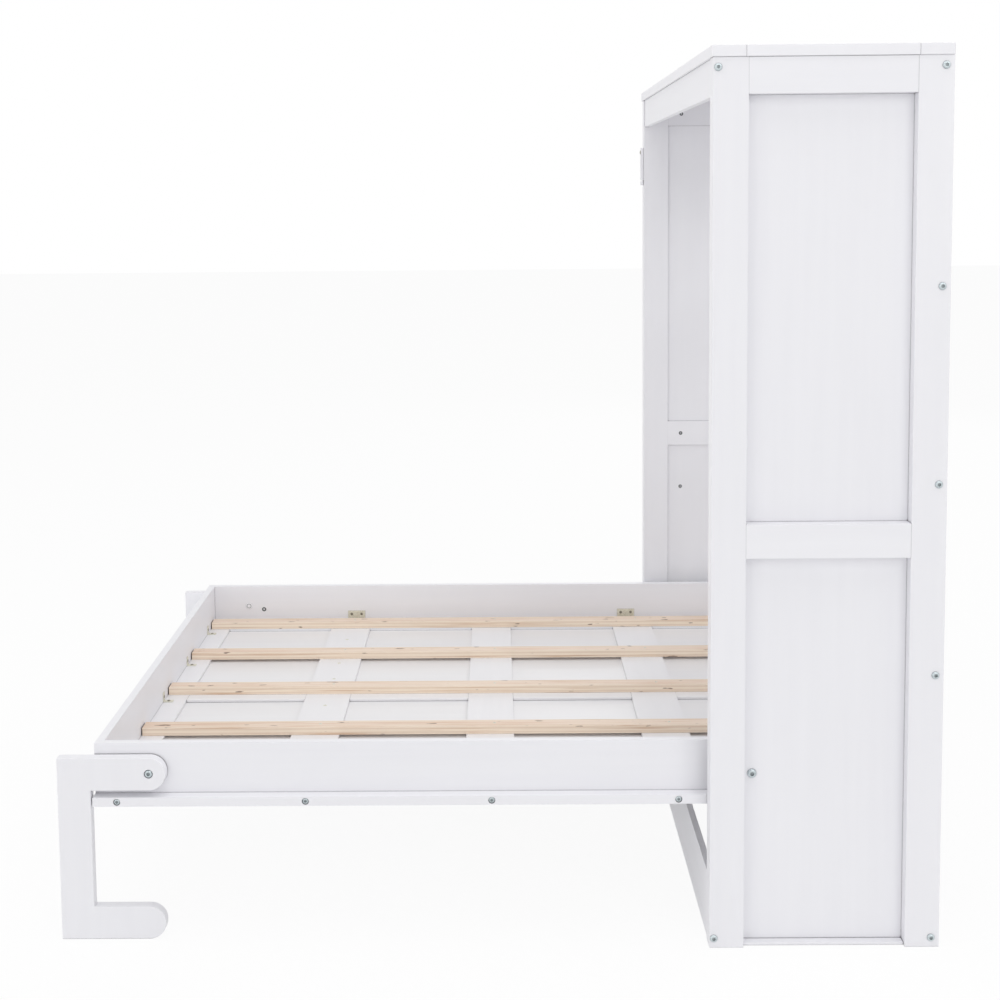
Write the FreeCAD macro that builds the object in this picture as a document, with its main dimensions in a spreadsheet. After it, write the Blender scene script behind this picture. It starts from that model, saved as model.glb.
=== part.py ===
import FreeCAD, Part
import os
import re

# Wall bed, let down: X is the width, the foot points to -Y, the wall is at +Y, the floor is Z = 0.
# The origin is on the floor, in the middle of the footprint.

doc = FreeCAD.newDocument("WallBed")
sheet = doc.addObject("Spreadsheet::Sheet", "Sizes")

# Driving sizes, mm
sizes = {
    # cabinet
    "cabinet_width": 1570,
    "cabinet_height": 2107,
    "cabinet_depth": 540,
    "frame_thickness": 48,
    "stile_width": 80,
    "top_rail_height": 83,
    "mid_rail_height": 80,
    "mid_rail_level": 935,
    "field_thickness": 10,
    "field_recess": 31,
    "tongue": 8,
    "strip_height": 7,
    "strip_recess": 9,
    "top_thickness": 26,
    "top_overhang": 4,
    "top_edge_width": 78,
    "skirt_thickness": 16,
    "valance_height": 86,
    "valance_setback": 3,
    "plinth_height": 161,
    "plinth_setback": 2,
    "back_rail_height": 80,
    "back_rail_thickness": 22,
    "back_rail_inset": 8,
    "low_back_rail_level": 657,
    "middle_back_rail_level": 1106,
    "high_back_rail_level": 1562,
    "wall_hole_radius": 4.5,
    "wall_hole_inset": 137,
    # cabinet fixings
    "bolt_radius": 4,
    "bolt_head_radius": 9,
    "bolt_head_height": 4.5,
    "bolt_edge": 23,
    "bolt_grip": 40,
    "socket_radius": 4,
    "socket_depth": 3,
    "dowel_radius": 5,
    "dowel_length": 12,
    "dowel_depth": 30,
    "hole_clearance": 0.3,
    "running_clearance": 0.08,
    "overrun": 1,
    "panel_insert_setback": 123,
    "panel_insert_radius": 5.5,
    "panel_insert_bore": 3,
    "panel_insert_length": 8,
    "panel_insert_drop": 45,
    "low_insert_drop": 142,
    # turn button
    "latch_inset": 24,
    "latch_width": 28,
    "latch_thickness": 8.5,
    "latch_gap": 0.5,
    "latch_drop": 260,
    "latch_length": 105,
    "latch_pivot_inset": 14,
    "latch_rest_height": 14,
    "latch_rest_gap": 3,
    "latch_screw_radius": 3,
    "latch_screw_length": 45,
    "latch_head_radius": 6.5,
    "latch_head_height": 2,
    # bed pivot
    "pivot_setback": 102.5,
    "pivot_height": 412.5,
    "pivot_radius": 6,
    "pivot_head_radius": 11,
    "pivot_head_height": 6,
    "pivot_end_gap": 1,
    "plate_width": 90,
    "plate_height": 96,
    "plate_thickness": 3,
    "plate_gap": 2,
    "plate_screw_inset": 12,
    "screw_radius": 2.5,
    "screw_length": 9,
    "screw_head_radius": 4.5,
    "screw_head_height": 1.2,
    "bush_radius": 9,
    "bush_depth": 16,
    "bush_collar_radius": 14,
    "bush_end_gap": 0.5,
    # bed
    "bed_clearance": 3,
    "foot_reach": 1567.5,
    "head_reach": 377.5,
    "base_drop": 60.5,
    "base_thickness": 22,
    "base_stile_width": 127,
    "base_foot_width": 82,
    "base_head_width": 130,
    "cross_rail_width": 127,
    "muntin_width": 127,
    "base_panel_thickness": 6,
    "base_panel_drop": 8,
    "ledge_width": 30,
    "bed_rail_thickness": 20,
    "bed_rail_height": 123,
    "slat_width": 45,
    "slat_thickness": 22,
    "slat_edge_gap": 31.5,
    "slat_gap": 3,
    # bed fixings
    "base_bolt_head_radius": 8,
    "base_bolt_sink": 5,
    "bracket_length": 57,
    "bracket_short_length": 16,
    "bracket_flange": 27,
    "bracket_tall_flange": 38,
    "bracket_screw_drop": 11,
    "bracket_thickness": 2,
    "bracket_screw_inset": 12,
    "bracket_screw_length": 8,
    "bracket_offset": 75,
    "rail_insert_radius": 7,
    "rail_insert_bore": 4,
    "rail_insert_length": 14,
    "rail_insert_drop": 16,
    "foot_insert_inset": 185,
    "head_insert_reach": 123.5,
    # legs
    "leg_thickness": 26,
    "leg_post_width": 80,
    "leg_arm_height": 81,
    "leg_foot_height": 81,
    "leg_pivot_inset": 135,
    "leg_pivot_drop": 4,
    "leg_reach": 219,
    "leg_foot_tail": 33,
    "leg_bolt_radius": 5,
    "leg_head_radius": 9.8,
    "leg_head_height": 4.5,
    "leg_bolt_sink": 5,
    "leg_washer_radius": 16,
    "leg_washer_thickness": 2,
    "leg_nut_radius": 7.5,
    "leg_nut_length": 15,
    "leg_nut_flange_radius": 11,
    "leg_nut_flange_thickness": 1.6,
}

# Shares of a size
head_taper_share = 0.8
base_bolt_shares = (0.21, 0.2, 0.04, -0.12, -0.29)
bracket_shares = {"base_cross_rail_1": 0.1, "base_cross_rail_3": -0.12}

for row, (name, value) in enumerate(sizes.items(), start=1):
    cell = f"A{row}"
    sheet.set(cell, str(value))
    sheet.setAlias(cell, name)
doc.recompute()

blanks = {}
cuts = {}
parts = {}

turns = {
    "+x": FreeCAD.Rotation(FreeCAD.Vector(0, 1, 0), 90),
    "-x": FreeCAD.Rotation(FreeCAD.Vector(0, 1, 0), -90),
    "+y": FreeCAD.Rotation(FreeCAD.Vector(1, 0, 0), -90),
    "-y": FreeCAD.Rotation(FreeCAD.Vector(1, 0, 0), 90),
    "+z": FreeCAD.Rotation(),
    "-z": FreeCAD.Rotation(FreeCAD.Vector(1, 0, 0), 180),
}
reverse = {"+x": "-x", "-x": "+x", "+y": "-y", "-y": "+y", "+z": "-z", "-z": "+z"}
sides = {"right": "+", "left": "-"}


def bind(thing, path, text):
    expression = re.sub(r"[a-z][a-z_]+", lambda word: "Sizes." + word.group(), text)
    thing.setExpression(path, expression)


def place(thing, point):
    for axis, text in zip("xyz", point):
        bind(thing, f"Placement.Base.{axis}", text)


def block(name, corner, size):
    box = doc.addObject("Part::Box", name)
    for path, text in zip(("Length", "Width", "Height"), size):
        bind(box, path, text)
    place(box, corner)
    return box


def rod(name, point, axis, radius, length):
    cylinder = doc.addObject("Part::Cylinder", name)
    bind(cylinder, "Radius", radius)
    bind(cylinder, "Height", length)
    cylinder.Placement.Rotation = turns[axis]
    place(cylinder, point)
    return cylinder


def joined(name, pieces):
    fuse = doc.addObject("Part::MultiFuse", name)
    fuse.Shapes = pieces
    fuse.Refine = True
    return fuse


def carved(name, base, tools):
    cut = doc.addObject("Part::Cut", name)
    cut.Base = base
    if len(tools) == 1:
        cut.Tool = tools[0]
    else:
        cut.Tool = joined(f"{name}_tools", tools)
    return cut


def keep(label, thing):
    thing.Label = label
    parts[label] = thing


def group(label, pieces):
    compound = doc.addObject("Part::Compound", label)
    compound.Links = pieces
    keep(label, compound)


def board(name, corner, size):
    blanks[name] = block(f"{name}_blank", corner, size)
    cuts[name] = []


def finished(name):
    return carved(name, blanks[name], cuts[name]) if cuts[name] else blanks[name]


def moved(point, axis, distance):
    spot = "xyz".index(axis[1])
    shifted = list(point)
    shifted[spot] = f"({point[spot]} {axis[0]} ({distance}))"
    return tuple(shifted)


def hole(name, mouth, axis, radius, depth):
    start = moved(mouth, reverse[axis], "overrun")
    cuts[name].append(rod(f"{name}_hole", start, axis, radius, f"({depth} + overrun)"))


def fastener(name, seat, outward, radius, length, head_radius, head_height, socket=False):
    head = doc.addObject("Part::Cone", f"{name}_head")
    bind(head, "Radius1", head_radius)
    bind(head, "Radius2", f"{head_radius} * {head_taper_share}")
    bind(head, "Height", head_height)
    head.Placement.Rotation = turns[outward]
    place(head, seat)
    shank = rod(f"{name}_shank", seat, reverse[outward], radius, length)
    whole = joined(name, [head, shank])
    if not socket:
        return whole
    key = doc.addObject("Part::Prism", f"{name}_socket")
    key.Polygon = 6
    bind(key, "Circumradius", "socket_radius")
    bind(key, "Height", "socket_depth + overrun")
    key.Placement.Rotation = turns[reverse[outward]]
    place(key, moved(seat, outward, f"{head_height} + overrun"))
    return carved(f"{name}_cut", whole, [key])


def ring(name, point, axis, radius, bore, length):
    body = rod(f"{name}_body", point, axis, radius, length)
    start = moved(point, reverse[axis], "overrun")
    inside = rod(f"{name}_bore", start, axis, bore, f"{length} + 2 * overrun")
    return carved(name, body, [inside])


def low_x(sign, near, far):
    return near if sign == "+" else f"(-({far}))"


def at_x(sign, distance):
    return distance if sign == "+" else f"(-({distance}))"


# Shared levels and planes
half = "(cabinet_width / 2)"
inner = "(cabinet_width / 2 - frame_thickness)"
field_out = f"({half} - field_recess)"
field_in = f"({field_out} - field_thickness)"
plate_in = f"({field_in} - plate_thickness)"
under_top = "(cabinet_height - top_thickness)"
leg_pivot_reach = "(foot_reach - leg_pivot_inset)"
pivot_y = f"(({leg_pivot_reach} + leg_reach + pivot_setback - cabinet_depth) / 2)"
front = f"({pivot_y} - pivot_setback)"
back = f"({front} + cabinet_depth)"
field_span = "(cabinet_depth - 2 * stile_width)"
foot = f"({pivot_y} - foot_reach)"
head = f"({pivot_y} + head_reach)"
bed_length = "(foot_reach + head_reach)"
base_half = f"({inner} - bed_clearance)"
base_inner = f"({base_half} - base_stile_width)"
base_top = "(pivot_height - base_drop)"
base_low = f"({base_top} - base_thickness)"
rail_out = f"({base_half} - ledge_width)"
rail_in = f"({rail_out} - bed_rail_thickness)"
leg_in = f"({rail_out} + leg_washer_thickness)"
leg_out = f"({leg_in} + leg_thickness)"
leg_y = f"({pivot_y} - {leg_pivot_reach})"
leg_z = "(pivot_height - leg_pivot_drop)"

# Side frames
for side, sign in sides.items():
    frame_x = low_x(sign, inner, half)
    field_x = low_x(sign, field_in, field_out)
    between = f"({front} + stile_width)"
    stile_size = ("frame_thickness", "stile_width", under_top)
    board(f"{side}_front_stile", (frame_x, front, "0"), stile_size)
    board(f"{side}_back_stile", (frame_x, f"{back} - stile_width", "0"), stile_size)
    top_rail_low = f"({under_top} - top_rail_height)"
    top_rail_size = ("frame_thickness", field_span, "top_rail_height")
    mid_rail_size = ("frame_thickness", field_span, "mid_rail_height")
    strip_size = ("field_recess - strip_recess", field_span, "strip_height")
    strip_x = low_x(sign, field_out, f"{half} - strip_recess")
    board(f"{side}_top_rail", (frame_x, between, top_rail_low), top_rail_size)
    board(f"{side}_mid_rail", (frame_x, between, "mid_rail_level"), mid_rail_size)
    board(f"{side}_bottom_strip", (strip_x, between, "0"), strip_size)
    upper_low = "(mid_rail_level + mid_rail_height - tongue)"
    field_width = f"({field_span} + 2 * tongue)"
    upper_height = f"({top_rail_low} + tongue - {upper_low})"
    field_y = f"({between} - tongue)"
    lower_height = "(mid_rail_level + tongue)"
    upper_size = ("field_thickness", field_width, upper_height)
    lower_size = ("field_thickness", field_width, lower_height)
    board(f"{side}_upper_field", (field_x, field_y, upper_low), upper_size)
    board(f"{side}_lower_field", (field_x, field_y, "0"), lower_size)
    for piece in ("front_stile", "back_stile", "mid_rail", "top_rail"):
        cuts[f"{side}_{piece}"].append(blanks[f"{side}_upper_field"])
    for piece in ("front_stile", "back_stile", "mid_rail"):
        cuts[f"{side}_{piece}"].append(blanks[f"{side}_lower_field"])

# Top, valance, plinth and back rails
top_x = f"(-({half} + top_overhang))"
top_y = f"({front} - top_overhang)"
top_length = "(cabinet_width + 2 * top_overhang)"
top_edge_size = (top_length, "top_edge_width", "top_thickness")
middle_width = "(cabinet_depth + top_overhang - 2 * top_edge_width)"
middle_size = (top_length, middle_width, "top_thickness")
board("top_front_board", (top_x, top_y, under_top), top_edge_size)
board("top_back_board", (top_x, f"{back} - top_edge_width", under_top), top_edge_size)
board("top_middle_board", (top_x, f"{top_y} + top_edge_width", under_top), middle_size)
clear_width = f"(2 * {inner})"
valance_y = f"({front} + valance_setback)"
plinth_y = f"({front} + plinth_setback)"
back_rail_y = f"({back} - back_rail_inset - back_rail_thickness)"
left_end = f"(-{inner})"
valance_low = f"({under_top} - valance_height)"
board("valance", (left_end, valance_y, valance_low), (clear_width, "skirt_thickness", "valance_height"))
board("plinth", (left_end, plinth_y, "0"), (clear_width, "skirt_thickness", "plinth_height"))
back_rail_bolts = {
    "back_rail_1": "bolt_edge",
    "back_rail_2": "low_back_rail_level",
    "back_rail_3": "middle_back_rail_level",
    "back_rail_4": "high_back_rail_level",
    "back_rail_5": f"({under_top} - bolt_edge)",
}
back_rail_lows = {name: f"({level} - back_rail_height / 2)" for name, level in back_rail_bolts.items()}
back_rail_lows["back_rail_1"] = "0"
back_rail_lows["back_rail_5"] = f"({under_top} - back_rail_height)"
for name, low in back_rail_lows.items():
    board(name, (left_end, back_rail_y, low), (clear_width, "back_rail_thickness", "back_rail_height"))
wall_hole_pitch = f"(2 * ({inner} - wall_hole_inset) / 3)"
for step in (-1.5, -0.5, 0.5, 1.5):
    mouth = (f"({step} * {wall_hole_pitch})", back_rail_y, f"({under_top} - back_rail_height / 2)")
    hole("back_rail_5", mouth, "+y", "wall_hole_radius", "back_rail_thickness + overrun")

# Cabinet bolts and cross dowels
bolts = []
dowels = []
bolt_hole_radius = "(bolt_radius + hole_clearance)"
bolted = [("valance", "front_stile", f"({valance_y} + skirt_thickness / 2)", f"({under_top} - bolt_edge)")]
bolted.append(("plinth", "front_stile", f"({plinth_y} + skirt_thickness / 2)", "bolt_edge"))
for name, level in back_rail_bolts.items():
    bolted.append((name, "back_stile", f"({back_rail_y} + back_rail_thickness / 2)", level))
for side, sign in sides.items():
    outward = f"{sign}x"
    inward = reverse[outward]
    for name, stile, bolt_y, bolt_z in bolted:
        tag = f"{side}_{name}"
        seat = (at_x(sign, half), bolt_y, bolt_z)
        rail_end = (at_x(sign, inner), bolt_y, bolt_z)
        bolts.append(fastener(f"{tag}_bolt", seat, outward, "bolt_radius", "frame_thickness + bolt_grip",
                              "bolt_head_radius", "bolt_head_height", socket=True))
        hole(f"{side}_{stile}", seat, inward, bolt_hole_radius, "frame_thickness + overrun")
        hole(name, rail_end, inward, bolt_hole_radius, "bolt_grip + overrun")
        dowel_start = (at_x(sign, f"{inner} - dowel_depth"), f"({bolt_y} - dowel_length / 2)", bolt_z)
        dowel = rod(f"{tag}_dowel_blank", dowel_start, "+y", "dowel_radius", "dowel_length")
        bore = rod(f"{tag}_dowel_bore", rail_end, inward, bolt_hole_radius, "2 * dowel_depth")
        dowels.append(carved(f"{tag}_dowel", dowel, [bore]))
        cuts[name].append(rod(f"{tag}_dowel_hole", dowel_start, "+y", "dowel_radius + hole_clearance",
                              "back_rail_thickness"))
group("cabinet_bolts", bolts)
group("cross_dowels", dowels)

# Pivot plates, pivot bolts and bushes
plates = []
plate_screws = []
pivot_bolts = []
bushes = []
pivot_bore = "(pivot_radius + running_clearance)"
plate_y = f"({front} + stile_width + plate_gap)"
plate_z = "(pivot_height - plate_height / 2)"
for side, sign in sides.items():
    outward = f"{sign}x"
    inward = reverse[outward]
    field = f"{side}_lower_field"
    pivot_seat = (at_x(sign, field_out), pivot_y, "pivot_height")
    hole(field, pivot_seat, inward, pivot_bore, "field_thickness + overrun")
    plate_name = f"{side}_pivot_plate"
    plate_x = low_x(sign, plate_in, field_in)
    board(plate_name, (plate_x, plate_y, plate_z), ("plate_thickness", "plate_width", "plate_height"))
    plate_face = at_x(sign, plate_in)
    hole(plate_name, (plate_face, pivot_y, "pivot_height"), outward, pivot_bore, "plate_thickness + overrun")
    for along in ("plate_screw_inset", "(plate_width - plate_screw_inset)"):
        for up in ("plate_screw_inset", "(plate_height - plate_screw_inset)"):
            seat = (plate_face, f"({plate_y} + {along})", f"({plate_z} + {up})")
            plate_screws.append(fastener(f"{side}_plate_screw", seat, inward, "screw_radius", "screw_length",
                                         "screw_head_radius", "screw_head_height"))
            for target in (plate_name, field):
                hole(target, seat, outward, "screw_radius + hole_clearance", "screw_length")
    plates.append(finished(plate_name))
    pivot_length = f"({field_out} - {rail_out} + bush_depth - pivot_end_gap)"
    pivot_bolts.append(fastener(f"{side}_pivot_bolt", pivot_seat, outward, "pivot_radius", pivot_length,
                                "pivot_head_radius", "pivot_head_height", socket=True))
    collar_start = (at_x(sign, rail_out), pivot_y, "pivot_height")
    collar = rod(f"{side}_bush_collar", collar_start, outward, "bush_collar_radius",
                 f"{plate_in} - {rail_out} - bush_end_gap")
    sleeve = rod(f"{side}_bush_sleeve", collar_start, inward, "bush_radius", "bush_depth")
    bush_bore = rod(f"{side}_bush_bore", moved(collar_start, inward, "bush_depth + overrun"), outward,
                    pivot_bore, f"{half} - {rail_in}")
    bushes.append(carved(f"{side}_bush", joined(f"{side}_bush_blank", [collar, sleeve]), [bush_bore]))
group("pivot_plates", plates)
group("plate_screws", plate_screws)
group("pivot_bolts", pivot_bolts)
group("pivot_bushes", bushes)

# Threaded inserts in the sides
inserts = []
insert_spots = {
    "top_rail": (inner, f"({under_top} - panel_insert_drop)"),
    "mid_rail": (inner, "(mid_rail_level + mid_rail_height / 2)"),
    "lower_field": (field_in, "(mid_rail_level - low_insert_drop)"),
}
insert_hole = "(panel_insert_radius + hole_clearance)"
for side, sign in sides.items():
    outward = f"{sign}x"
    for piece, (face, level) in insert_spots.items():
        mouth = (at_x(sign, face), f"({front} + panel_insert_setback)", level)
        insert = ring(f"{side}_{piece}_insert", mouth, outward, "panel_insert_radius", "panel_insert_bore",
                      "panel_insert_length")
        inserts.append(insert)
        hole(f"{side}_{piece}", mouth, outward, insert_hole, "panel_insert_length")
group("panel_inserts", inserts)

# Turn button on the left front stile, with its screw and rest
latch_level = f"({under_top} - latch_drop)"
latch_x = f"(-({half} - latch_inset))"
latch_edge = f"({latch_x} - latch_width / 2)"
latch_y = f"({front} - latch_gap - latch_thickness)"
latch_pivot_z = f"({latch_level} + latch_length - latch_pivot_inset)"
latch_seat = (latch_x, latch_y, latch_pivot_z)
board("latch_button", (latch_edge, latch_y, latch_level), ("latch_width", "latch_thickness", "latch_length"))
hole("latch_button", latch_seat, "+y", "latch_screw_radius + running_clearance", "latch_thickness + overrun")
rest_low = f"({latch_level} - latch_rest_gap - latch_rest_height)"
rest_size = ("latch_width", "latch_thickness + latch_gap", "latch_rest_height")
board("latch_rest", (latch_edge, latch_y, rest_low), rest_size)
latch_screw = fastener("latch_screw_whole", latch_seat, "-y", "latch_screw_radius", "latch_screw_length",
                       "latch_head_radius", "latch_head_height")
keep("latch_screw", latch_screw)
stile_face = (latch_x, front, latch_pivot_z)
hole("left_front_stile", stile_face, "+y", "latch_screw_radius + hole_clearance", "latch_screw_length")

# Base of the bed
base_stile_size = ("base_stile_width", bed_length, "base_thickness")
board("base_right_stile", (base_inner, foot, base_low), base_stile_size)
board("base_left_stile", (f"(-{base_half})", foot, base_low), base_stile_size)
base_rail_x = f"(-{base_inner})"
base_rail_length = f"(2 * {base_inner})"
bay = f"(({bed_length} - base_foot_width - base_head_width - 3 * cross_rail_width) / 4)"
bay_pitch = f"({bay} + cross_rail_width)"
first_bay = f"({foot} + base_foot_width)"
base_rails = {"base_foot_rail": (foot, "base_foot_width")}
for number in (1, 2, 3):
    cross_rail_low = f"({first_bay} + {number} * {bay_pitch} - cross_rail_width)"
    base_rails[f"base_cross_rail_{number}"] = (cross_rail_low, "cross_rail_width")
base_rails["base_head_rail"] = (f"({head} - base_head_width)", "base_head_width")
for name, (low, width) in base_rails.items():
    board(name, (base_rail_x, low, base_low), (base_rail_length, width, "base_thickness"))
rail_names = list(base_rails)
muntins = []
panels = []
panel_low = f"({base_top} - base_panel_drop - base_panel_thickness)"
panel_width = f"({base_inner} - muntin_width / 2 + 2 * tongue)"
for number in range(4):
    bay_low = f"({first_bay} + {number} * {bay_pitch})"
    muntin = f"muntin_{number}"
    muntins.append(muntin)
    board(muntin, ("(-muntin_width / 2)", bay_low, base_low), ("muntin_width", bay, "base_thickness"))
    for side, sign in sides.items():
        panel_x = low_x(sign, "(muntin_width / 2 - tongue)", f"{base_inner} + tongue")
        panel = block(f"{side}_panel", (panel_x, f"({bay_low} - tongue)", panel_low),
                      (panel_width, f"({bay} + 2 * tongue)", "base_panel_thickness"))
        panels.append(panel)
        for name in (f"base_{side}_stile", muntin, rail_names[number], rail_names[number + 1]):
            cuts[name].append(panel)
group("base_muntins", [finished(name) for name in muntins])
group("base_panels", panels)

# Side rails, foot rail, head rail and slats
rail_size = ("bed_rail_thickness", bed_length, "bed_rail_height")
for side, sign in sides.items():
    board(f"{side}_side_rail", (low_x(sign, rail_in, rail_out), foot, base_top), rail_size)
    collar_start = (at_x(sign, rail_out), pivot_y, "pivot_height")
    hole(f"{side}_side_rail", collar_start, reverse[f"{sign}x"], "bush_radius + hole_clearance", "bush_depth")
end_size = (f"(2 * {rail_in})", "bed_rail_thickness", "bed_rail_height")
board("foot_rail", (f"(-{rail_in})", foot, base_top), end_size)
board("head_rail", (f"(-{rail_in})", f"({head} - bed_rail_thickness)", base_top), end_size)
slat_pitch = f"(({rail_in} - slat_edge_gap - slat_width / 2) / 2)"
slat_y = f"({foot} + bed_rail_thickness + slat_gap)"
slat_length = f"({bed_length} - 2 * bed_rail_thickness - 2 * slat_gap)"
for number, step in enumerate((-2, -1, 0, 1, 2), start=1):
    slat_x = f"({step} * {slat_pitch} - slat_width / 2)"
    board(f"slat_{number}", (slat_x, slat_y, base_top), ("slat_width", slat_length, "slat_thickness"))

# Base bolts, sunk in the ledges
base_bolts = []
bolt_level = f"({base_top} - base_thickness / 2)"
for side, sign in sides.items():
    outward = f"{sign}x"
    inward = reverse[outward]
    for (name, (low, width)), share in zip(base_rails.items(), base_bolt_shares):
        bolt_y = f"({low} + {width} / 2 + {width} * {share})"
        seat = (at_x(sign, f"({base_half} - base_bolt_sink)"), bolt_y, bolt_level)
        base_bolts.append(fastener(f"{side}_{name}_bolt", seat, outward, "bolt_radius",
                                   "base_stile_width - base_bolt_sink + bolt_grip", "base_bolt_head_radius",
                                   "bolt_head_height", socket=True))
        stile = f"base_{side}_stile"
        mouth = (at_x(sign, base_half), bolt_y, bolt_level)
        hole(stile, mouth, inward, "base_bolt_head_radius + hole_clearance", "base_bolt_sink")
        hole(stile, mouth, inward, bolt_hole_radius, "base_stile_width + overrun")
        rail_end = (at_x(sign, base_inner), bolt_y, bolt_level)
        hole(name, rail_end, inward, bolt_hole_radius, "bolt_grip + overrun")
group("base_bolts", base_bolts)

# Angle brackets and their screws
brackets = []
bracket_screws = []
screw_hole = "(screw_radius + hole_clearance)"


def bracket_screw(name, seat, outward, bracket_tools, target):
    bracket_screws.append(fastener(name, seat, outward, "screw_radius", "bracket_screw_length",
                                   "screw_head_radius", "screw_head_height"))
    inward = reverse[outward]
    start = moved(seat, outward, "overrun")
    through = "(bracket_thickness + 2 * overrun)"
    bracket_tools.append(rod(f"{name}_bracket_hole", start, inward, screw_hole, through))
    hole(target, moved(seat, inward, "bracket_thickness"), inward, screw_hole, "bracket_screw_length")


flange_middle = "(bracket_flange / 2 + bracket_thickness / 2)"
plate_top = f"({base_top} + bracket_thickness)"
for side, sign in sides.items():
    inward = reverse[f"{sign}x"]
    for rail, share in bracket_shares.items():
        low, width = base_rails[rail]
        middle = f"({low} + {width} / 2 + {width} * {share})"
        start = f"({middle} - bracket_length / 2)"
        tag = f"{side}_{rail}_bracket"
        wall_x = low_x(sign, f"{rail_in} - bracket_thickness", rail_in)
        floor_x = low_x(sign, f"{rail_in} - bracket_flange", rail_in)
        wall_size = ("bracket_thickness", "bracket_length", "bracket_tall_flange")
        floor_size = ("bracket_flange", "bracket_length", "bracket_thickness")
        wall = block(f"{tag}_wall", (wall_x, start, base_top), wall_size)
        floor = block(f"{tag}_floor", (floor_x, start, base_top), floor_size)
        tools = []
        for along in ("bracket_screw_inset", "(bracket_length - bracket_screw_inset)"):
            spot = f"({start} + {along})"
            wall_face = at_x(sign, f"{rail_in} - bracket_thickness")
            wall_seat = (wall_face, spot, f"({base_top} + bracket_tall_flange - bracket_screw_drop)")
            floor_seat = (at_x(sign, f"{rail_in} - {flange_middle}"), spot, plate_top)
            bracket_screw(f"{tag}_wall_screw", wall_seat, inward, tools, f"{side}_side_rail")
            bracket_screw(f"{tag}_floor_screw", floor_seat, "+z", tools, f"base_{side}_stile")
        brackets.append(carved(tag, joined(f"{tag}_blank", [wall, floor]), tools))
ends = {
    "foot": ("+y", f"({foot} + bed_rail_thickness)"),
    "head": ("-y", f"({head} - bed_rail_thickness)"),
}
for end, (inward, face) in ends.items():
    for step, way in ((-2, "+"), (-1, "+"), (0, "+"), (2, "-")):
        middle = f"({step} * {slat_pitch} {way} bracket_offset)"
        start = f"({middle} - bracket_short_length / 2)"
        tag = f"{end}_bracket"
        wall_y = face if inward == "+y" else f"({face} - bracket_thickness)"
        floor_y = face if inward == "+y" else f"({face} - bracket_flange)"
        wall_size = ("bracket_short_length", "bracket_thickness", "bracket_flange")
        floor_size = ("bracket_short_length", "bracket_flange", "bracket_thickness")
        wall = block(f"{tag}_wall", (start, wall_y, base_top), wall_size)
        floor = block(f"{tag}_floor", (start, floor_y, base_top), floor_size)
        tools = []
        wall_seat = moved((middle, face, f"({base_top} + {flange_middle})"), inward, "bracket_thickness")
        floor_seat = moved((middle, face, plate_top), inward, flange_middle)
        bracket_screw(f"{tag}_wall_screw", wall_seat, inward, tools, f"{end}_rail")
        bracket_screw(f"{tag}_floor_screw", floor_seat, "+z", tools, f"base_{end}_rail")
        brackets.append(carved(tag, joined(f"{tag}_blank", [wall, floor]), tools))
group("corner_brackets", brackets)
group("bracket_screws", bracket_screws)

# Inserts and leg nuts in the side rails, leg bolts and washers
rail_inserts = []
leg_bolts = []
washers = []
leg_hole = "(leg_bolt_radius + hole_clearance)"
for side, sign in sides.items():
    outward = f"{sign}x"
    inward = reverse[outward]
    rail = f"{side}_side_rail"
    rail_face = at_x(sign, rail_in)
    for spot in (f"({foot} + foot_insert_inset)", f"({pivot_y} + head_insert_reach)"):
        mouth = (rail_face, spot, "(pivot_height - rail_insert_drop)")
        insert = ring(f"{side}_rail_insert", mouth, outward, "rail_insert_radius", "rail_insert_bore",
                      "rail_insert_length")
        rail_inserts.append(insert)
        hole(rail, mouth, outward, "rail_insert_radius + hole_clearance", "rail_insert_length")
    nut_face = (rail_face, leg_y, leg_z)
    barrel = rod(f"{side}_nut_barrel", nut_face, outward, "leg_nut_radius", "leg_nut_length")
    flange = rod(f"{side}_nut_flange", nut_face, inward, "leg_nut_flange_radius", "leg_nut_flange_thickness")
    nut_bore = rod(f"{side}_nut_bore", moved(nut_face, inward, "bed_rail_thickness"), outward, leg_hole,
                   "2 * bed_rail_thickness")
    nut_blank = joined(f"{side}_leg_nut_blank", [barrel, flange])
    rail_inserts.append(carved(f"{side}_leg_nut", nut_blank, [nut_bore]))
    hole(rail, nut_face, outward, "leg_nut_radius + hole_clearance", "leg_nut_length")
    hole(rail, nut_face, outward, leg_hole, "bed_rail_thickness + overrun")
    seat = (at_x(sign, f"({leg_out} - leg_bolt_sink)"), leg_y, leg_z)
    bolt_length = f"({leg_out} - leg_bolt_sink - {rail_in})"
    leg_bolts.append(fastener(f"{side}_leg_bolt", seat, outward, "leg_bolt_radius", bolt_length,
                              "leg_head_radius", "leg_head_height", socket=True))
    washer_start = (at_x(sign, rail_out), leg_y, leg_z)
    washer = ring(f"{side}_leg_washer", washer_start, outward, "leg_washer_radius", leg_hole,
                  "leg_washer_thickness")
    washers.append(washer)
group("rail_inserts", rail_inserts)
group("leg_bolts", leg_bolts)
group("leg_washers", washers)

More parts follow.
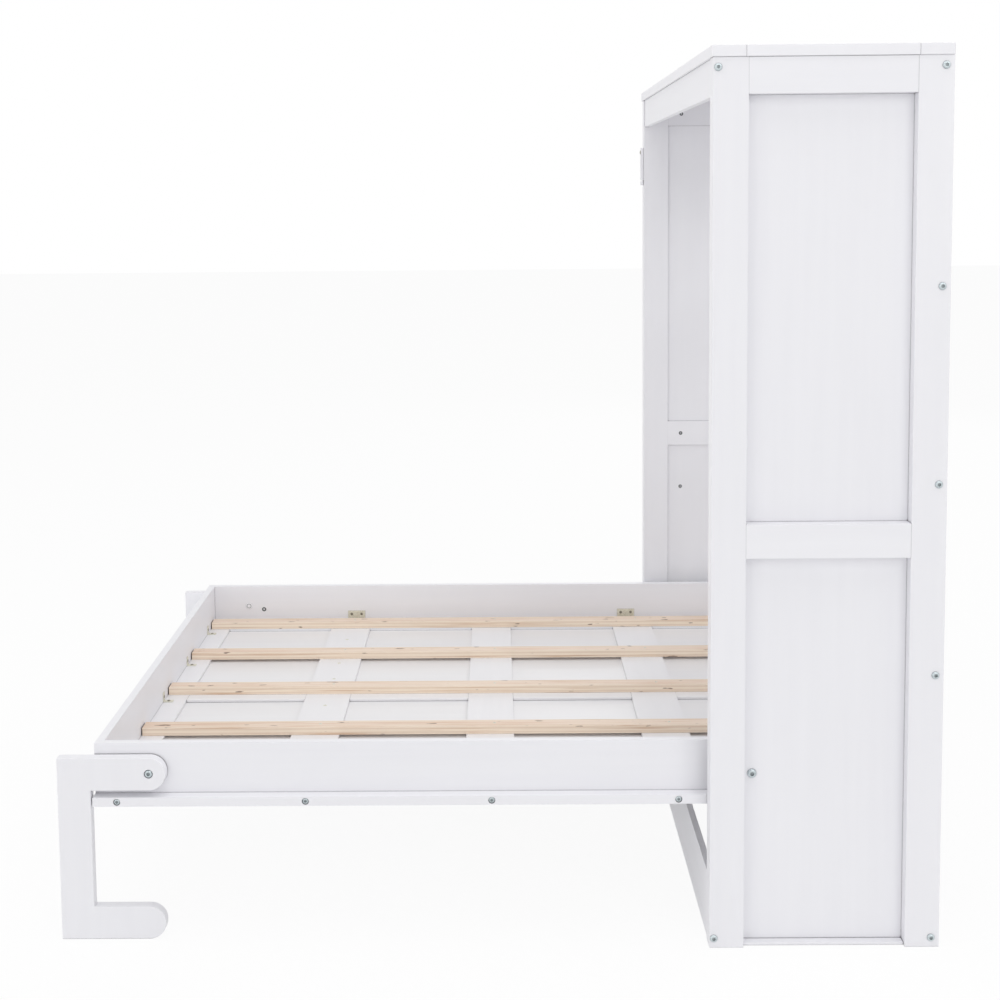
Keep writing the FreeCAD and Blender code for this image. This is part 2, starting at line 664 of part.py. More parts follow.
# Legs, each one board
leg_back = f"({leg_y} - leg_reach)"
arm_low = f"({leg_z} - leg_arm_height / 2)"
foot_end = f"({leg_y} + leg_foot_tail - leg_foot_height / 2)"
for side, sign in sides.items():
    outward = f"{sign}x"
    leg_x = low_x(sign, leg_in, leg_out)
    inner_face = at_x(sign, leg_in)
    post_size = ("leg_thickness", "leg_post_width", f"{arm_low} + leg_arm_height")
    arm_size = ("leg_thickness", "leg_reach", "leg_arm_height")
    toe_size = ("leg_thickness", f"{foot_end} - {leg_back}", "leg_foot_height")
    post = block(f"{side}_leg_post", (leg_x, leg_back, "0"), post_size)
    arm = block(f"{side}_leg_arm", (leg_x, leg_back, arm_low), arm_size)
    toe = block(f"{side}_leg_toe", (leg_x, leg_back, "0"), toe_size)
    arm_middle = (inner_face, leg_y, leg_z)
    toe_middle = (inner_face, foot_end, "leg_foot_height / 2")
    arm_round = rod(f"{side}_leg_arm_round", arm_middle, outward, "leg_arm_height / 2", "leg_thickness")
    toe_round = rod(f"{side}_leg_toe_round", toe_middle, outward, "leg_foot_height / 2", "leg_thickness")
    whole = joined(f"{side}_leg_blank", [post, arm, toe, arm_round, toe_round])
    bore = rod(f"{side}_leg_bore", moved((inner_face, leg_y, leg_z), reverse[outward], "overrun"), outward,
               "leg_bolt_radius + running_clearance", "leg_thickness + overrun")
    sink = rod(f"{side}_leg_sink", (at_x(sign, f"({leg_out} - leg_bolt_sink)"), leg_y, leg_z), outward,
               "leg_head_radius + 2 * hole_clearance", "leg_bolt_sink + overrun")
    keep(f"{side}_leg", carved(f"{side}_leg_cut", whole, [bore, sink]))

grouped = set(muntins) | {f"{side}_pivot_plate" for side in sides}
for name in blanks:
    if name not in grouped:
        keep(name, finished(name))

doc.recompute()
for thing in doc.Objects:
    if "Invalid" in thing.State or "Error" in thing.State:
        raise RuntimeError(f"{thing.Label} did not recompute")
for label, thing in parts.items():
    if thing.Shape.isNull() or not thing.Shape.isValid():
        raise RuntimeError(f"{label} has no valid shape")

os.makedirs("parts", exist_ok=True)
for label, thing in parts.items():
    thing.Shape.exportStep(f"parts/{label}.step")
print(len(parts), "nodes written")
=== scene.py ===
import math
import bmesh
import bpy
from mathutils import Matrix, Vector


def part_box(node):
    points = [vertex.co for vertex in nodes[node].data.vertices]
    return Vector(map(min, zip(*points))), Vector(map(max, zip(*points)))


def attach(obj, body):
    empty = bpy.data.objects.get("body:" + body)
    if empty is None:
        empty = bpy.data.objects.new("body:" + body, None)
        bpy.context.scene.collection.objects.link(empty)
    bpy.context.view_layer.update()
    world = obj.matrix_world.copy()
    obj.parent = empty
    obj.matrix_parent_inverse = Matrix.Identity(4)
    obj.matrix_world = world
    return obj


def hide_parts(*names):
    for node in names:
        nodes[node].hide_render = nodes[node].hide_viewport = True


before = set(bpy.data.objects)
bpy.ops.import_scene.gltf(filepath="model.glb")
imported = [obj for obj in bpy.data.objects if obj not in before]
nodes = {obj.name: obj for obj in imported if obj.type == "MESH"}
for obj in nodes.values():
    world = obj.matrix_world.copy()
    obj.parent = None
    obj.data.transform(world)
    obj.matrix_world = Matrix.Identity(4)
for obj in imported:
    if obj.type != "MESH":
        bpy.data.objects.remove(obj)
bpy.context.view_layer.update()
scene = bpy.context.scene
print("frame loaded:", len(nodes), "nodes")


# camera: level with the top third of the cabinet, looking across the bed from its right side
cameraSet = {
    "place": (4.0625, 0.0149, 1.7791),
    "turn": 0.0087,
    "dip": 0.0869,
    "roll": -0.0092,
    "lens": 52.025,
    "sensor": 36,
    "shift": (0.0156, -0.18),
    "farEnd": 60,
}


def spin(a, b, angle):
    # two axes at right angles, turned together in their own plane
    c, s = math.cos(angle), math.sin(angle)
    return a * c - b * s, b * c + a * s


def addCamera(s):
    forward = Vector((-math.cos(s["turn"]), -math.sin(s["turn"]), 0))
    right = Vector((-math.sin(s["turn"]), math.cos(s["turn"]), 0))
    forward, up = spin(forward, Vector((0, 0, 1)), s["dip"])
    right, up = spin(right, up, -s["roll"])
    data = bpy.data.cameras.new("camera")
    data.lens = s["lens"]
    data.sensor_width = s["sensor"]
    data.shift_x, data.shift_y = s["shift"]
    data.clip_end = s["farEnd"]
    cam = bpy.data.objects.new("camera", data)
    turn = Matrix((right, up, -forward)).transposed().to_4x4()
    cam.matrix_world = Matrix.Translation(s["place"]) @ turn
    scene.collection.objects.link(cam)
    scene.camera = cam


addCamera(cameraSet)
print("camera set")


# light: an even white room, with soft lamps before, beside, above and behind the bed
lightSet = {
    "room": 0.62,
    "lamps": [
        {"name": "lowLamp", "place": (9.0, -6.5, 3.2), "aim": (0, 0.5, 0.9), "size": 5.0, "watts": 88},
        {"name": "sideLamp", "place": (7.5, 3.5, 5.5), "aim": (0, 0, 0.6), "size": 5.0, "watts": 126},
        {"name": "topLamp", "place": (1.2, -0.6, 6.0), "aim": (0, 0, 0.6), "size": 4.0, "watts": 66},
        {"name": "footLamp", "place": (0.4, -5.5, 0.8), "aim": (0, 0.5, 0.2), "size": 1.4, "watts": 36},
        {"name": "backLamp", "place": (0.8, 6.0, 5.2), "aim": (0, -0.8, 0.4), "size": 4.0, "watts": 50},
        {"name": "leftLamp", "place": (-7.0, 2.5, 3.5), "aim": (0, 0.3, 0.8), "size": 5.0, "watts": 40},
    ],
}
floorSet = {
    "reach": 30,
    "drop": 0.0005,
    "colour": (0.95, 0.95, 0.95),
    "glow": 0.92,
}


def mathNode(nt, kind, a, b=None):
    m = nt.nodes.new("ShaderNodeMath")
    m.operation = kind
    nt.links.new(a, m.inputs[0])
    if isinstance(b, float):
        m.inputs[1].default_value = b
    elif b is not None:
        nt.links.new(b, m.inputs[1])
    return m.outputs[0]


def seenRays(nt):
    # 1 for rays from the camera, a mirror or glass, which see the plain white background
    path = nt.nodes.new("ShaderNodeLightPath")
    seen = path.outputs["Is Camera Ray"]
    for kind in ("Is Glossy Ray", "Is Transmission Ray"):
        seen = mathNode(nt, "MAXIMUM", seen, path.outputs[kind])
    return seen


def addLight(s):
    world = bpy.data.worlds.new("room")
    scene.world = world
    world.use_nodes = True
    nt = world.node_tree
    back = nt.nodes["Background"]
    back.inputs["Color"].default_value = (1, 1, 1, 1)
    level = nt.nodes.new("ShaderNodeMapRange")
    level.inputs["To Min"].default_value = s["room"]
    level.inputs["To Max"].default_value = 1
    nt.links.new(seenRays(nt), level.inputs["Value"])
    nt.links.new(level.outputs["Result"], back.inputs["Strength"])
    for l in s["lamps"]:
        data = bpy.data.lights.new(l["name"], "AREA")
        data.shape = "DISK"
        data.size = l["size"]
        data.energy = l["watts"]
        lamp = bpy.data.objects.new(l["name"], data)
        lamp.location = l["place"]
        look = Vector(l["aim"]) - Vector(l["place"])
        lamp.rotation_euler = look.to_track_quat("-Z", "Y").to_euler()
        scene.collection.objects.link(lamp)


def addFloor(s):
    mesh = bpy.data.meshes.new("floor")
    bm = bmesh.new()
    bmesh.ops.create_grid(bm, x_segments=2, y_segments=2, size=s["reach"])
    bm.to_mesh(mesh)
    bm.free()
    floor = bpy.data.objects.new("floor", mesh)
    floor.location = (0, 0, -s["drop"])
    scene.collection.objects.link(floor)
    mat = bpy.data.materials.new("paleFloor")
    mat.use_nodes = True
    nt = mat.node_tree
    nt.nodes.clear()
    matte = nt.nodes.new("ShaderNodeBsdfDiffuse")
    matte.inputs["Color"].default_value = (*s["colour"], 1)
    glow = nt.nodes.new("ShaderNodeEmission")
    share = nt.nodes.new("ShaderNodeMapRange")
    share.inputs["To Max"].default_value = s["glow"]
    nt.links.new(seenRays(nt), share.inputs["Value"])
    mix = nt.nodes.new("ShaderNodeMixShader")
    nt.links.new(share.outputs["Result"], mix.inputs["Fac"])
    nt.links.new(matte.outputs[0], mix.inputs[1])
    nt.links.new(glow.outputs[0], mix.inputs[2])
    out = nt.nodes.new("ShaderNodeOutputMaterial")
    nt.links.new(mix.outputs[0], out.inputs["Surface"])
    mesh.materials.append(mat)


addLight(lightSet)
addFloor(floorSet)
scene.view_settings.view_transform = "Standard"
print("light and floor set")


def freshMaterial(name):
    mat = bpy.data.materials.new(name)
    mat.use_nodes = True
    nt = mat.node_tree
    return mat, nt, nt.nodes["Principled BSDF"]


def boardCoords(nt, grain, along, across=1):
    # noise space stretched along the grain axis, in metres of the part's own frame
    coords = nt.nodes.new("ShaderNodeTexCoord")
    mapping = nt.nodes.new("ShaderNodeMapping")
    mapping.inputs["Scale"].default_value = [along if axis == grain else across for axis in "xyz"]
    nt.links.new(coords.outputs["Object"], mapping.inputs["Vector"])
    return mapping.outputs["Vector"]


def noise(nt, vector, scale, detail, rough=0.55):
    n = nt.nodes.new("ShaderNodeTexNoise")
    n.inputs["Scale"].default_value = scale
    n.inputs["Detail"].default_value = detail
    n.inputs["Roughness"].default_value = rough
    nt.links.new(vector, n.inputs["Vector"])
    return n.outputs["Fac"]


def shaded(colour, share):
    return tuple(c * share for c in colour)


def ramp(nt, factor, stops):
    r = nt.nodes.new("ShaderNodeValToRGB")
    ends = r.color_ramp.elements
    for end, (place, colour) in zip((ends[0], ends[1]), (stops[0], stops[-1])):
        end.position, end.color = place, (*colour, 1)
    for place, colour in stops[1:-1]:
        ends.new(place).color = (*colour, 1)
    nt.links.new(factor, r.inputs["Fac"])
    return r.outputs["Color"]


def mixColour(nt, factor, a, b, kind="MIX"):
    m = nt.nodes.new("ShaderNodeMix")
    m.data_type = "RGBA"
    m.blend_type = kind
    if isinstance(factor, float):
        m.inputs[0].default_value = factor
    else:
        nt.links.new(factor, m.inputs[0])
    nt.links.new(a, m.inputs[6])
    nt.links.new(b, m.inputs[7])
    return m.outputs[2]


def remap(nt, factor, low, high, toLow, toHigh):
    r = nt.nodes.new("ShaderNodeMapRange")
    for name, value in (("From Min", low), ("From Max", high), ("To Min", toLow), ("To Max", toHigh)):
        r.inputs[name].default_value = value
    nt.links.new(factor, r.inputs["Value"])
    return r.outputs["Result"]


def times(nt, a, b, share):
    return remap(nt, mathNode(nt, "MULTIPLY", a, b), 0, 1, 0, share)


def bump(nt, height, shader, strength, distance, under=None):
    b = nt.nodes.new("ShaderNodeBump")
    b.inputs["Strength"].default_value = strength
    b.inputs["Distance"].default_value = distance
    nt.links.new(height, b.inputs["Height"])
    if under:
        nt.links.new(under, b.inputs["Normal"])
    if shader:
        nt.links.new(b.outputs["Normal"], shader.inputs["Normal"])
    return b.outputs["Normal"]


# satin white paint on boards, with the brush and the grain just showing through, and painted shade in
# the corners and joints
paintSet = {
    "low": (0.868, 0.866, 0.897),
    "high": (0.884, 0.882, 0.911),
    "cloud": (0.982, 0.981, 0.984),
    "grainScale": 38,
    "grainStretch": 0.05,
    "grainDepth": 0.0012,
    "fineScale": 342,
    "fineStretch": 0.03,
    "fineDepth": 0.0004,
    "cloudScale": 2.3,
    "cloudStretch": 0.4,
    "rough": (0.36, 0.50),
    "shine": 0.4,
    "bump": 0.12,
    "fineShare": 0.6,
    # corner and joint: painted shade multiplied into the paint in inner corners and in the joints
    # between boards
    "corner": (0.62, 0.61, 0.62),
    "cornerAt": 0.45,
    "joint": (0.16, 0.155, 0.16),
    "creviceReach": 0.005,
    "creviceSpan": (0.2, 0.78),
    "creviceSamples": 8,
}


def paintedCreviceShade(nt, colour, s):
    # painted shade: joints and inner corners darkened by how closed-in they are, where shade falls
    near = nt.nodes.new("ShaderNodeAmbientOcclusion")
    near.samples = s["creviceSamples"]
    near.inputs["Distance"].default_value = s["creviceReach"]
    amount = remap(nt, near.outputs["AO"], *s["creviceSpan"], 1, 0)
    grey = ramp(nt, amount, [(0, (1, 1, 1)), (s["cornerAt"], s["corner"]), (1, s["joint"])])
    return mixColour(nt, 1.0, colour, grey, "MULTIPLY")


def paintedWood(name, grain, s):
    mat, nt, shader = freshMaterial(name)
    streaks = noise(nt, boardCoords(nt, grain, s["grainStretch"]), s["grainScale"], 6)
    fine = noise(nt, boardCoords(nt, grain, s["fineStretch"]), s["fineScale"], 3)
    clouds = noise(nt, boardCoords(nt, grain, s["cloudStretch"]), s["cloudScale"], 3)
    base = ramp(nt, streaks, [(0.3, s["low"]), (0.7, s["high"])])
    soft = ramp(nt, clouds, [(0.35, s["cloud"]), (0.7, (1, 1, 1))])
    whole = mixColour(nt, 1.0, base, soft, "MULTIPLY")
    # the paint's colour, with painted shade in its corners and joints
    nt.links.new(paintedCreviceShade(nt, whole, s), shader.inputs["Base Color"])
    nt.links.new(remap(nt, clouds, 0.3, 0.7, *s["rough"]), shader.inputs["Roughness"])
    shader.inputs["Specular IOR Level"].default_value = s["shine"]
    coarse = bump(nt, streaks, None, s["bump"], s["grainDepth"])
    bump(nt, fine, shader, s["bump"] * s["fineShare"], s["fineDepth"], coarse)
    return mat


paint = {axis: paintedWood("paintedWood" + axis.upper(), axis, paintSet) for axis in "xyz"}

# inside the bed's base: copies of the paint a shade darker and less blue, as painted shade, with
# lighter painted shade in the joints, and thin sheets, darker still as painted shade, with a glossier
# coat that mirrors the slats
baseSet = dict(
    paintSet, low=(0.852, 0.846, 0.864), high=(0.870, 0.864, 0.880),
    corner=(0.84, 0.835, 0.84), joint=(0.46, 0.45, 0.46),
)
sheetSet = dict(
    baseSet, low=(0.838, 0.833, 0.846), high=(0.856, 0.851, 0.862),
    rough=(0.27, 0.35), shine=0.45, bump=0.03,
)
basePaint = {axis: paintedWood("basePaint" + axis.upper(), axis, baseSet) for axis in "xy"}
sheetPaint = paintedWood("sheetPaint", "y", sheetSet)


# bare layered wood of the slats: plies on the sides, open grain, brown streaks and dark flecks
slatSet = {
    "pale": (0.84, 0.70, 0.58),
    "dark": (0.73, 0.53, 0.39),
    # side: a paler colour for the slats' sides, painted light that lifts these less lit faces
    "side": (0.98, 0.85, 0.695),
    "sideShare": 0.75,
    "streak": (0.62, 0.38, 0.23),
    "streakSpan": (0.55, 0.67),
    "streakShare": 0.7,
    "end": (0.55, 0.36, 0.24),
    "endShare": 0.35,
    "fleck": (0.17, 0.10, 0.065),
    "fleckSpan": (0.7, 0.745),
    "fleckShare": 0.85,
    "ply": 0.0055,
    "plyShare": 0.5,
    "grainScale": 60,
    "grainStretch": 0.04,
    "lineScale": 210,
    "lineStretch": 0.016,
    "fleckScale": 95,
    "fleckStretch": 0.22,
    "rough": (0.48, 0.66),
    "bump": 0.25,
    "depth": 0.0008,
}


def layeredWood(name, s):
    mat, nt, shader = freshMaterial(name)
    geo = nt.nodes.new("ShaderNodeNewGeometry")
    facing = nt.nodes.new("ShaderNodeSeparateXYZ")
    nt.links.new(geo.outputs["Normal"], facing.inputs[0])
    grain = noise(nt, boardCoords(nt, "y", s["grainStretch"]), s["grainScale"], 7, 0.6)
    base = ramp(nt, grain, [(0.28, s["dark"]), (0.5, s["pale"]), (0.75, shaded(s["pale"], 1.05))])
    # the faces across x take the paler side colour as painted light; the plies are drawn on them below
    onSide = remap(nt, mathNode(nt, "ABSOLUTE", facing.outputs["X"]), 0.3, 0.7, 0, s["sideShare"])
    edge = ramp(nt, grain, [(0.25, shaded(s["side"], 0.93)), (0.6, s["side"])])
    body = mixColour(nt, onSide, base, edge)
    coords = nt.nodes.new("ShaderNodeTexCoord")
    split = nt.nodes.new("ShaderNodeSeparateXYZ")
    nt.links.new(coords.outputs["Object"], split.inputs[0])
    plies = mathNode(nt, "PINGPONG", split.outputs["Z"], s["ply"])
    band = remap(nt, plies, s["ply"] * 0.5, s["ply"] * 0.7, 0, 1)
    shade = ramp(nt, grain, [(0.2, s["dark"]), (0.8, shaded(s["dark"], 0.9))])
    layered = mixColour(nt, times(nt, band, onSide, s["plyShare"]), body, shade)
    lines = noise(nt, boardCoords(nt, "y", s["lineStretch"]), s["lineScale"], 3, 0.5)
    streak = ramp(nt, lines, [(0.55, s["dark"]), (0.72, s["streak"])])
    streakAmount = remap(nt, lines, *s["streakSpan"], 0, s["streakShare"])
    streaked = mixColour(nt, streakAmount, layered, streak)
    sawn = ramp(nt, grain, [(0.2, s["end"]), (0.8, shaded(s["end"], 1.25))])
    onEnd = remap(nt, mathNode(nt, "ABSOLUTE", facing.outputs["Y"]), 0.6, 0.8, 0, s["endShare"])
    ended = mixColour(nt, onEnd, streaked, sawn)
    flecks = noise(nt, boardCoords(nt, "y", s["fleckStretch"]), s["fleckScale"], 2, 0.4)
    fleckAmount = remap(nt, flecks, *s["fleckSpan"], 0, s["fleckShare"])
    fleck = ramp(nt, grain, [(0.2, s["fleck"]), (0.8, shaded(s["fleck"], 1.5))])
    nt.links.new(mixColour(nt, fleckAmount, ended, fleck), shader.inputs["Base Color"])
    nt.links.new(remap(nt, grain, 0.3, 0.7, *s["rough"]), shader.inputs["Roughness"])
    bump(nt, grain, shader, s["bump"], s["depth"])
    return mat


slatWood = layeredWood("layeredWood", slatSet)


# plated steel: blue-grey bolts, pale yellow zinc of the brackets, dark screws and threaded inserts
steelSet = {
    "boltSteel": {"dull": (0.46, 0.52, 0.54), "bright": (0.64, 0.70, 0.72),
                  "rough": (0.26, 0.42), "metal": 0.85},
    # socketSteel: a darker steel, painted shade in the bolts' sockets and under their heads' rims; it
    # also colours the caps' dark rings
    "socketSteel": {"dull": (0.20, 0.225, 0.235), "bright": (0.34, 0.375, 0.39),
                    "rough": (0.30, 0.46), "metal": 0.85},
    "paleZinc": {"dull": (0.66, 0.64, 0.54), "bright": (0.86, 0.85, 0.76),
                 "rough": (0.38, 0.56), "metal": 0.55},
    "screwSteel": {"dull": (0.20, 0.19, 0.15), "bright": (0.40, 0.38, 0.31),
                   "rough": (0.34, 0.50), "metal": 0.8},
    # darkSteel: the inserts' and cross dowels' own dark metal, and painted shade in the screws' cross
    # recesses
    "darkSteel": {"dull": (0.08, 0.085, 0.09), "bright": (0.20, 0.21, 0.22),
                  "rough": (0.34, 0.52), "metal": 0.9},
}
plateSet = {"blotchScale": 260, "fineScale": 1800, "bump": 0.15, "depth": 0.0002}


def platedSteel(name, s, plate):
    mat, nt, shader = freshMaterial(name)
    coords = nt.nodes.new("ShaderNodeTexCoord")
    blotch = noise(nt, coords.outputs["Object"], plate["blotchScale"], 4)
    fine = noise(nt, coords.outputs["Object"], plate["fineScale"], 2)
    colour = ramp(nt, blotch, [(0.3, s["dull"]), (0.7, s["bright"])])
    nt.links.new(colour, shader.inputs["Base Color"])
    nt.links.new(remap(nt, blotch, 0.3, 0.7, *s["rough"]), shader.inputs["Roughness"])
    shader.inputs["Metallic"].default_value = s["metal"]
    bump(nt, fine, shader, plate["bump"], plate["depth"])
    return mat


steel = {name: platedSteel(name, s, plateSet) for name, s in steelSet.items()}
steelNodes = {
    "cabinet_bolts": "boltSteel", "base_bolts": "boltSteel",
    "leg_bolts": "boltSteel", "pivot_bolts": "boltSteel",
    "panel_inserts": "darkSteel", "rail_inserts": "darkSteel", "cross_dowels": "darkSteel",
}
print("materials made")


# which way the grain runs in each board
boardSet = {
    "x": ["top_front_board", "top_middle_board", "top_back_board", "valance", "plinth",
          "foot_rail", "head_rail", "base_foot_rail", "base_head_rail", "latch_rest"],
    "y": ["right_side_rail", "left_side_rail", "base_right_stile", "base_left_stile",
          "base_muntins", "base_panels"],
    "z": ["latch_button"],
}
boardSet["x"] += ["back_rail_%d" % n for n in range(1, 6)]
boardSet["x"] += ["base_cross_rail_%d" % n for n in range(1, 4)]
for side in ("right_", "left_"):
    boardSet["y"] += [side + n for n in ("top_rail", "mid_rail", "bottom_strip")]
    boardSet["z"] += [side + n for n in ("front_stile", "back_stile", "upper_field", "lower_field")]
    boardSet["z"].append(side + "leg")
slats = ["slat_%d" % n for n in range(1, 6)]

# how far edges are eased, in metres, and what counts as an edge, in degrees
easeSet = {
    "board": 0.0018,
    "leg": 0.004,
    "slat": 0.001,
    "steel": 0.0004,
    "weld": 0.00001,
    "flatBelow": 0.5,
    "edgeAbove": 40,
    "evenWeight": 50,
}


def ease(obj, width, s, steps=3):
    # clean the facets first, so that only real edges are rounded
    weld = obj.modifiers.new("weld", "WELD")
    weld.merge_threshold = s["weld"]
    flat = obj.modifiers.new("flat", "DECIMATE")
    flat.decimate_type = "DISSOLVE"
    flat.angle_limit = math.radians(s["flatBelow"])
    bevel = obj.modifiers.new("ease", "BEVEL")
    bevel.width = width
    bevel.segments = steps
    bevel.limit_method = "ANGLE"
    bevel.angle_limit = math.radians(s["edgeAbove"])
    bevel.harden_normals = False
    even = obj.modifiers.new("even", "WEIGHTED_NORMAL")
    even.mode = "FACE_AREA"
    even.weight = s["evenWeight"]
    even.keep_sharp = False


def dress(obj, mat):
    obj.data.materials.clear()
    obj.data.materials.append(mat)


def coatOf(name, axis):
    if name == "base_panels":
        return sheetPaint
    inner = name.startswith("base_") and not name.endswith("_stile")
    return basePaint[axis] if inner else paint[axis]


for axis in "xyz":
    for name in boardSet[axis]:
        dress(nodes[name], coatOf(name, axis))
        ease(nodes[name], easeSet["leg" if name.endswith("_leg") else "board"], easeSet)
for name in slats:
    dress(nodes[name], slatWood)
    ease(nodes[name], easeSet["slat"], easeSet)
wooden = set(boardSet["x"] + boardSet["y"] + boardSet["z"] + slats)
for name in nodes:
    if name not in wooden:
        dress(nodes[name], steel[steelNodes.get(name, "paleZinc")])
        ease(nodes[name], easeSet["steel"], easeSet, 2)
print("boards dressed:", len(wooden))


# finds the separate fixings inside one node: the axis, the way the head points, its radius and levels
findSet = {"weld": 0.00001, "rimSlack": 0.00005}


def islands(bm):
    left = set(bm.verts)
    for start in bm.verts:
        if start not in left:
            continue
        left.discard(start)
        group, queue = [], [start]
        while queue:
            v = queue.pop()
            group.append(v.co.copy())
            for e in v.link_edges:
                w = e.other_vert(v)
                if w in left:
                    left.discard(w)
                    queue.append(w)
        yield group


def fixingsIn(node, s=findSet):
    obj = nodes[node]
    bm = bmesh.new()
    bm.from_mesh(obj.data)
    bmesh.ops.remove_doubles(bm, verts=bm.verts, dist=s["weld"])
    found = []
    for group in islands(bm):
        group = [obj.matrix_world @ co for co in group]
        low = Vector([min(p[i] for p in group) for i in range(3)])
        high = Vector([max(p[i] for p in group) for i in range(3)])
        spread = high - low
        axis = min(range(3), key=lambda i: abs(spread[(i + 1) % 3] - spread[(i + 2) % 3]))
        middle = (low + high) / 2
        across = [i for i in range(3) if i != axis]
        centre = [middle[i] for i in across]
        away = [(math.dist([p[i] for i in across], centre), p[axis]) for p in group]
        radius = max(a[0] for a in away)
        rim = [a[1] for a in away if a[0] > radius - s["rimSlack"]]
        seat = sum(rim) / len(rim)
        way = 1 if seat > middle[axis] else -1
        found.append({
            "axis": axis, "way": way, "low": low, "high": high, "middle": middle,
            "radius": radius, "seat": seat,
            "top": high[axis] if way > 0 else low[axis],
            "tip": low[axis] if way > 0 else high[axis],
        })
    bm.free()
    return found


def outwards(axis, way):
    out = Vector((0, 0, 0))
    out[axis] = way
    return out


def turned(profile, rounds, pinch=None, dark=()):
    # a lathe of (radius, height) rings; pinch gives a ring's radius at each step round,
    # and the bands listed in dark take the second material
    bm = bmesh.new()
    rings = []
    for number, (r, z) in enumerate(profile):
        if r == 0:
            rings.append([bm.verts.new((0, 0, z))])
            continue
        ring = []
        for k in range(rounds):
            a = 2 * math.pi * k / rounds
            reach = pinch(number, a, r) if pinch else r
            ring.append(bm.verts.new((reach * math.cos(a), reach * math.sin(a), z)))
        rings.append(ring)
    for number, (a, b) in enumerate(zip(rings, rings[1:])):
        for k in range(rounds):
            n = (k + 1) % rounds
            corners = [a[k % len(a)], a[n % len(a)], b[n % len(b)], b[k % len(b)]]
            face = bm.faces.new(list(dict.fromkeys(corners)))
            face.material_index = 1 if number in dark else 0
    bmesh.ops.recalc_face_normals(bm, faces=bm.faces)
    for f in bm.faces:
        f.smooth = True
    return bm


def addPiece(name, bm, mats, body, sharp=35):
    mesh = bpy.data.meshes.new(name)
    bm.to_mesh(mesh)
    bm.free()
    mesh.set_sharp_from_angle(angle=math.radians(sharp))
    for mat in mats:
        mesh.materials.append(mat)
    obj = bpy.data.objects.new(name, mesh)
    scene.collection.objects.link(obj)
    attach(obj, body)
    return obj


def gather(pieces):
    # many small pieces in one mesh
    whole = bmesh.new()
    for bm, place, out in pieces:
        turn = out.to_track_quat("Z", "Y").to_matrix().to_4x4()
        bm.transform(Matrix.Translation(place) @ turn)
        part = bpy.data.meshes.new("part")
        bm.to_mesh(part)
        bm.free()
        whole.from_mesh(part)
        bpy.data.meshes.remove(part)
    return whole


# screws with a rounded head and a cross recess, in place of the plain heads
screwSet = {
    "rounds": 48,
    "crown": 0.55,
    "wing": 0.66,
    "slit": 0.2,
    "arm": 0.30,
    "deep": 0.0011,
    # dark: the recess's floor and walls, which take darkSteel as painted shade
    "dark": (0, 1),
    "mats": ("screwSteel", "darkSteel"),
}


def crossScrew(radius, height, shank, length, s):
    narrow = s["slit"] / s["wing"]

    def pinch(number, angle, r):
        if number > 2:
            return r
        turn = abs((angle + math.pi / 4) % (math.pi / 2) - math.pi / 4)
        arm = min(1, max(0, (s["arm"] - turn) / (s["arm"] * 0.5)))
        return r * (narrow + (1 - narrow) * arm)

    profile = [
        (0, height - s["deep"]),
        (radius * s["wing"] * 0.9, height - s["deep"]),
        (radius * s["wing"], height),
        (radius * 0.78, height * 0.94),
        (radius * 0.92, height * s["crown"]),
        (radius, height * 0.12),
        (radius * 0.995, 0),
        (shank * 1.05, 0),
        (shank, -0.0004),
        (shank, -length),
        (0, -length - 0.0008),
    ]
    return turned(profile, s["rounds"], pinch, s["dark"])


# bolts with a rounded head and a hexagon socket
boltSet = {
    "rounds": 48,
    "socket": 0.42,
    "deep": 0.5,
    "rim": 0.60,
    # dark: the socket's floor and walls and the band under the head's rim, which take socketSteel as
    # painted shade
    "dark": (0, 1, 7, 8),
    "mats": ("boltSteel", "socketSteel"),
}


def socketBolt(radius, height, shank, length, s):
    def pinch(number, angle, r):
        if number > 2:
            return r
        return r / math.cos((angle + math.pi / 6) % (math.pi / 3) - math.pi / 6)

    low = height * (1 - s["deep"])
    profile = [
        (0, low),
        (radius * s["socket"], low),
        (radius * s["socket"], height * 0.97),
        (radius * s["rim"], height),
        (radius * 0.72, height * 0.95),
        (radius * 0.84, height * 0.80),
        (radius * 0.93, height * 0.55),
        (radius * 0.985, height * 0.25),
        (radius, 0.0002),
        (radius * 0.99, 0),
        (shank * 1.05, 0),
        (shank, -0.0004),
        (shank, -length),
        (shank * 0.8, -length - 0.0008),
        (0, -length - 0.0008),
    ]
    return turned(profile, s["rounds"], pinch, s["dark"])


# each new piece, the node it stands for, its body, and the radius of its shank
fixingSet = {
    "screws": [
        ("bracketScrews", "bracket_screws", "bed", 0.0024),
        ("plateScrews", "plate_screws", "cabinet", 0.0024),
        ("latchScrew", "latch_screw", "cabinet", 0.0029),
    ],
    "bolts": [
        ("cabinetBolts", "cabinet_bolts", "cabinet", 0.004),
        ("baseBolts", "base_bolts", "bed", 0.004),
        ("legBolts", "leg_bolts", "bed", 0.005),
        ("pivotBolts", "pivot_bolts", "pivots", 0.006),
    ],
    "tipGap": 0.001,
}


def addFixings(name, node, body, shank, make, s):
    made = []
    for f in fixingsIn(node):
        place = f["middle"].copy()
        place[f["axis"]] = f["seat"]
        height = abs(f["top"] - f["seat"])
        length = abs(f["seat"] - f["tip"]) - fixingSet["tipGap"]
        fixing = make(f["radius"], height, shank, length, s)
        made.append((fixing, place, outwards(f["axis"], f["way"])))
    piece = addPiece(name, gather(made), [steel[m] for m in s["mats"]], body)
    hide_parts(node)
    print("fixings made:", name, len(made))


for row in fixingSet["screws"]:
    addFixings(*row, crossScrew, screwSet)
for row in fixingSet["bolts"]:
    addFixings(*row, socketBolt, boltSet)


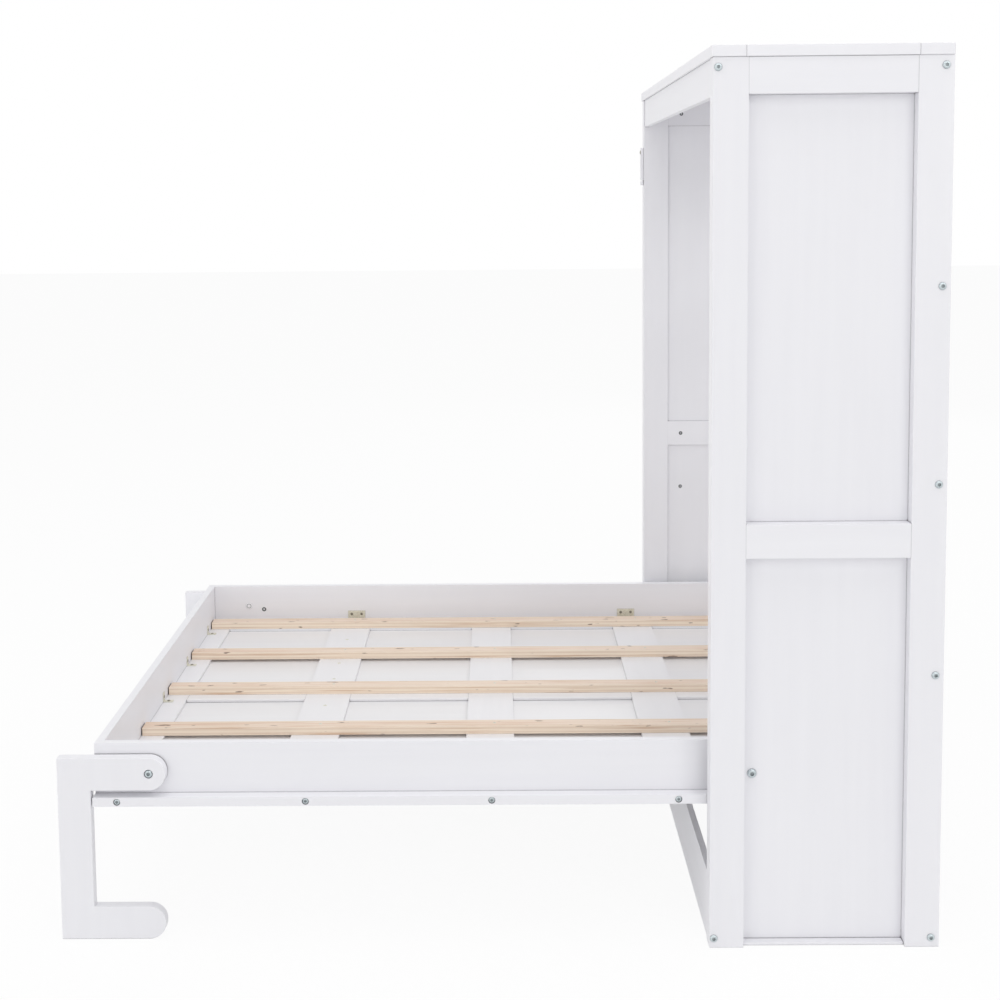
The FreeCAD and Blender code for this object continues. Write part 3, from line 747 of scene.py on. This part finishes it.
# flush screws: through each slat into the cross rails, and four in the cross rail next to the foot
flushSet = {
    "proud": 0.0004,
    "slatRadius": 0.0042,
    "slatShank": 0.002,
    "slatLength": 0.02,
    "slatPast": 0.012,
    "railRadius": 0.0055,
    "railShank": 0.0022,
    "railLength": 0.012,
    "railAcross": (-0.488, -0.252, -0.108, 0.115),
}


def addFlushScrews(s):
    made = []

    def screwAt(place, kind):
        size = s[kind + "Radius"], s["proud"], s[kind + "Shank"], s[kind + "Length"]
        made.append((crossScrew(*size, screwSet), Vector(place), Vector((0, 0, 1))))

    for number in (1, 2, 3):
        low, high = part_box("base_cross_rail_%d" % number)
        middle = (low[1] + high[1]) / 2
        for name in slats:
            slatLow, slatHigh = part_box(name)
            across = (slatLow[0] + slatHigh[0]) / 2
            screwAt((across, middle + s["slatPast"], slatHigh[2]), "slat")
        if number == 1:
            for x in s["railAcross"]:
                screwAt((x, middle, high[2]), "rail")
    piece = addPiece("flushScrews", gather(made), (steel["paleZinc"], steel["darkSteel"]), "bed")
    print("flush screws made:", len(made))


addFlushScrews(flushSet)


# white caps: in the mouths of the threaded inserts, and over the leg nuts
capSet = {
    "rounds": 40,
    "bores": (("panel_inserts", "cabinet", 0.0029), ("rail_inserts", "bed", 0.0039)),
    "sunk": 0.0006,
    "depth": 0.003,
    "nutFrom": 0.018,
    "nut": 0.0116,
    "nutFlange": 0.0016,
    "nutProud": 0.0008,
}


def roundCap(radius, low, high, rounds):
    def ring(share, drop):
        return radius * share, high - (high - low) * drop

    profile = [
        (0, high), (radius * 0.5, high), ring(0.58, 0.12), (radius * 0.66, high),
        ring(0.86, 0.08), ring(0.97, 0.4), (radius, low), (0, low),
    ]
    return turned(profile, rounds, dark=(1, 2))


def addCaps(s):
    counts = {}
    for node, body, bore in s["bores"]:
        made = []
        for f in fixingsIn(node):
            inward = Vector((-math.copysign(1, f["middle"].x), 0, 0))
            place = f["middle"].copy()
            place.x = min(f["low"].x, f["high"].x, key=abs)
            if f["high"].y - f["low"].y > s["nutFrom"]:
                cap = roundCap(s["nut"], -s["nutFlange"], s["nutProud"], s["rounds"])
            else:
                place -= inward * s["sunk"]
                cap = roundCap(bore, -s["depth"], 0, s["rounds"])
            made.append((cap, place, inward))
        name = node.split("_")[0] + "Caps"
        piece = addPiece(name, gather(made), (paint["z"], steel["socketSteel"]), body)
        counts[node] = len(made)
    print("caps made:", counts)


addCaps(capSet)
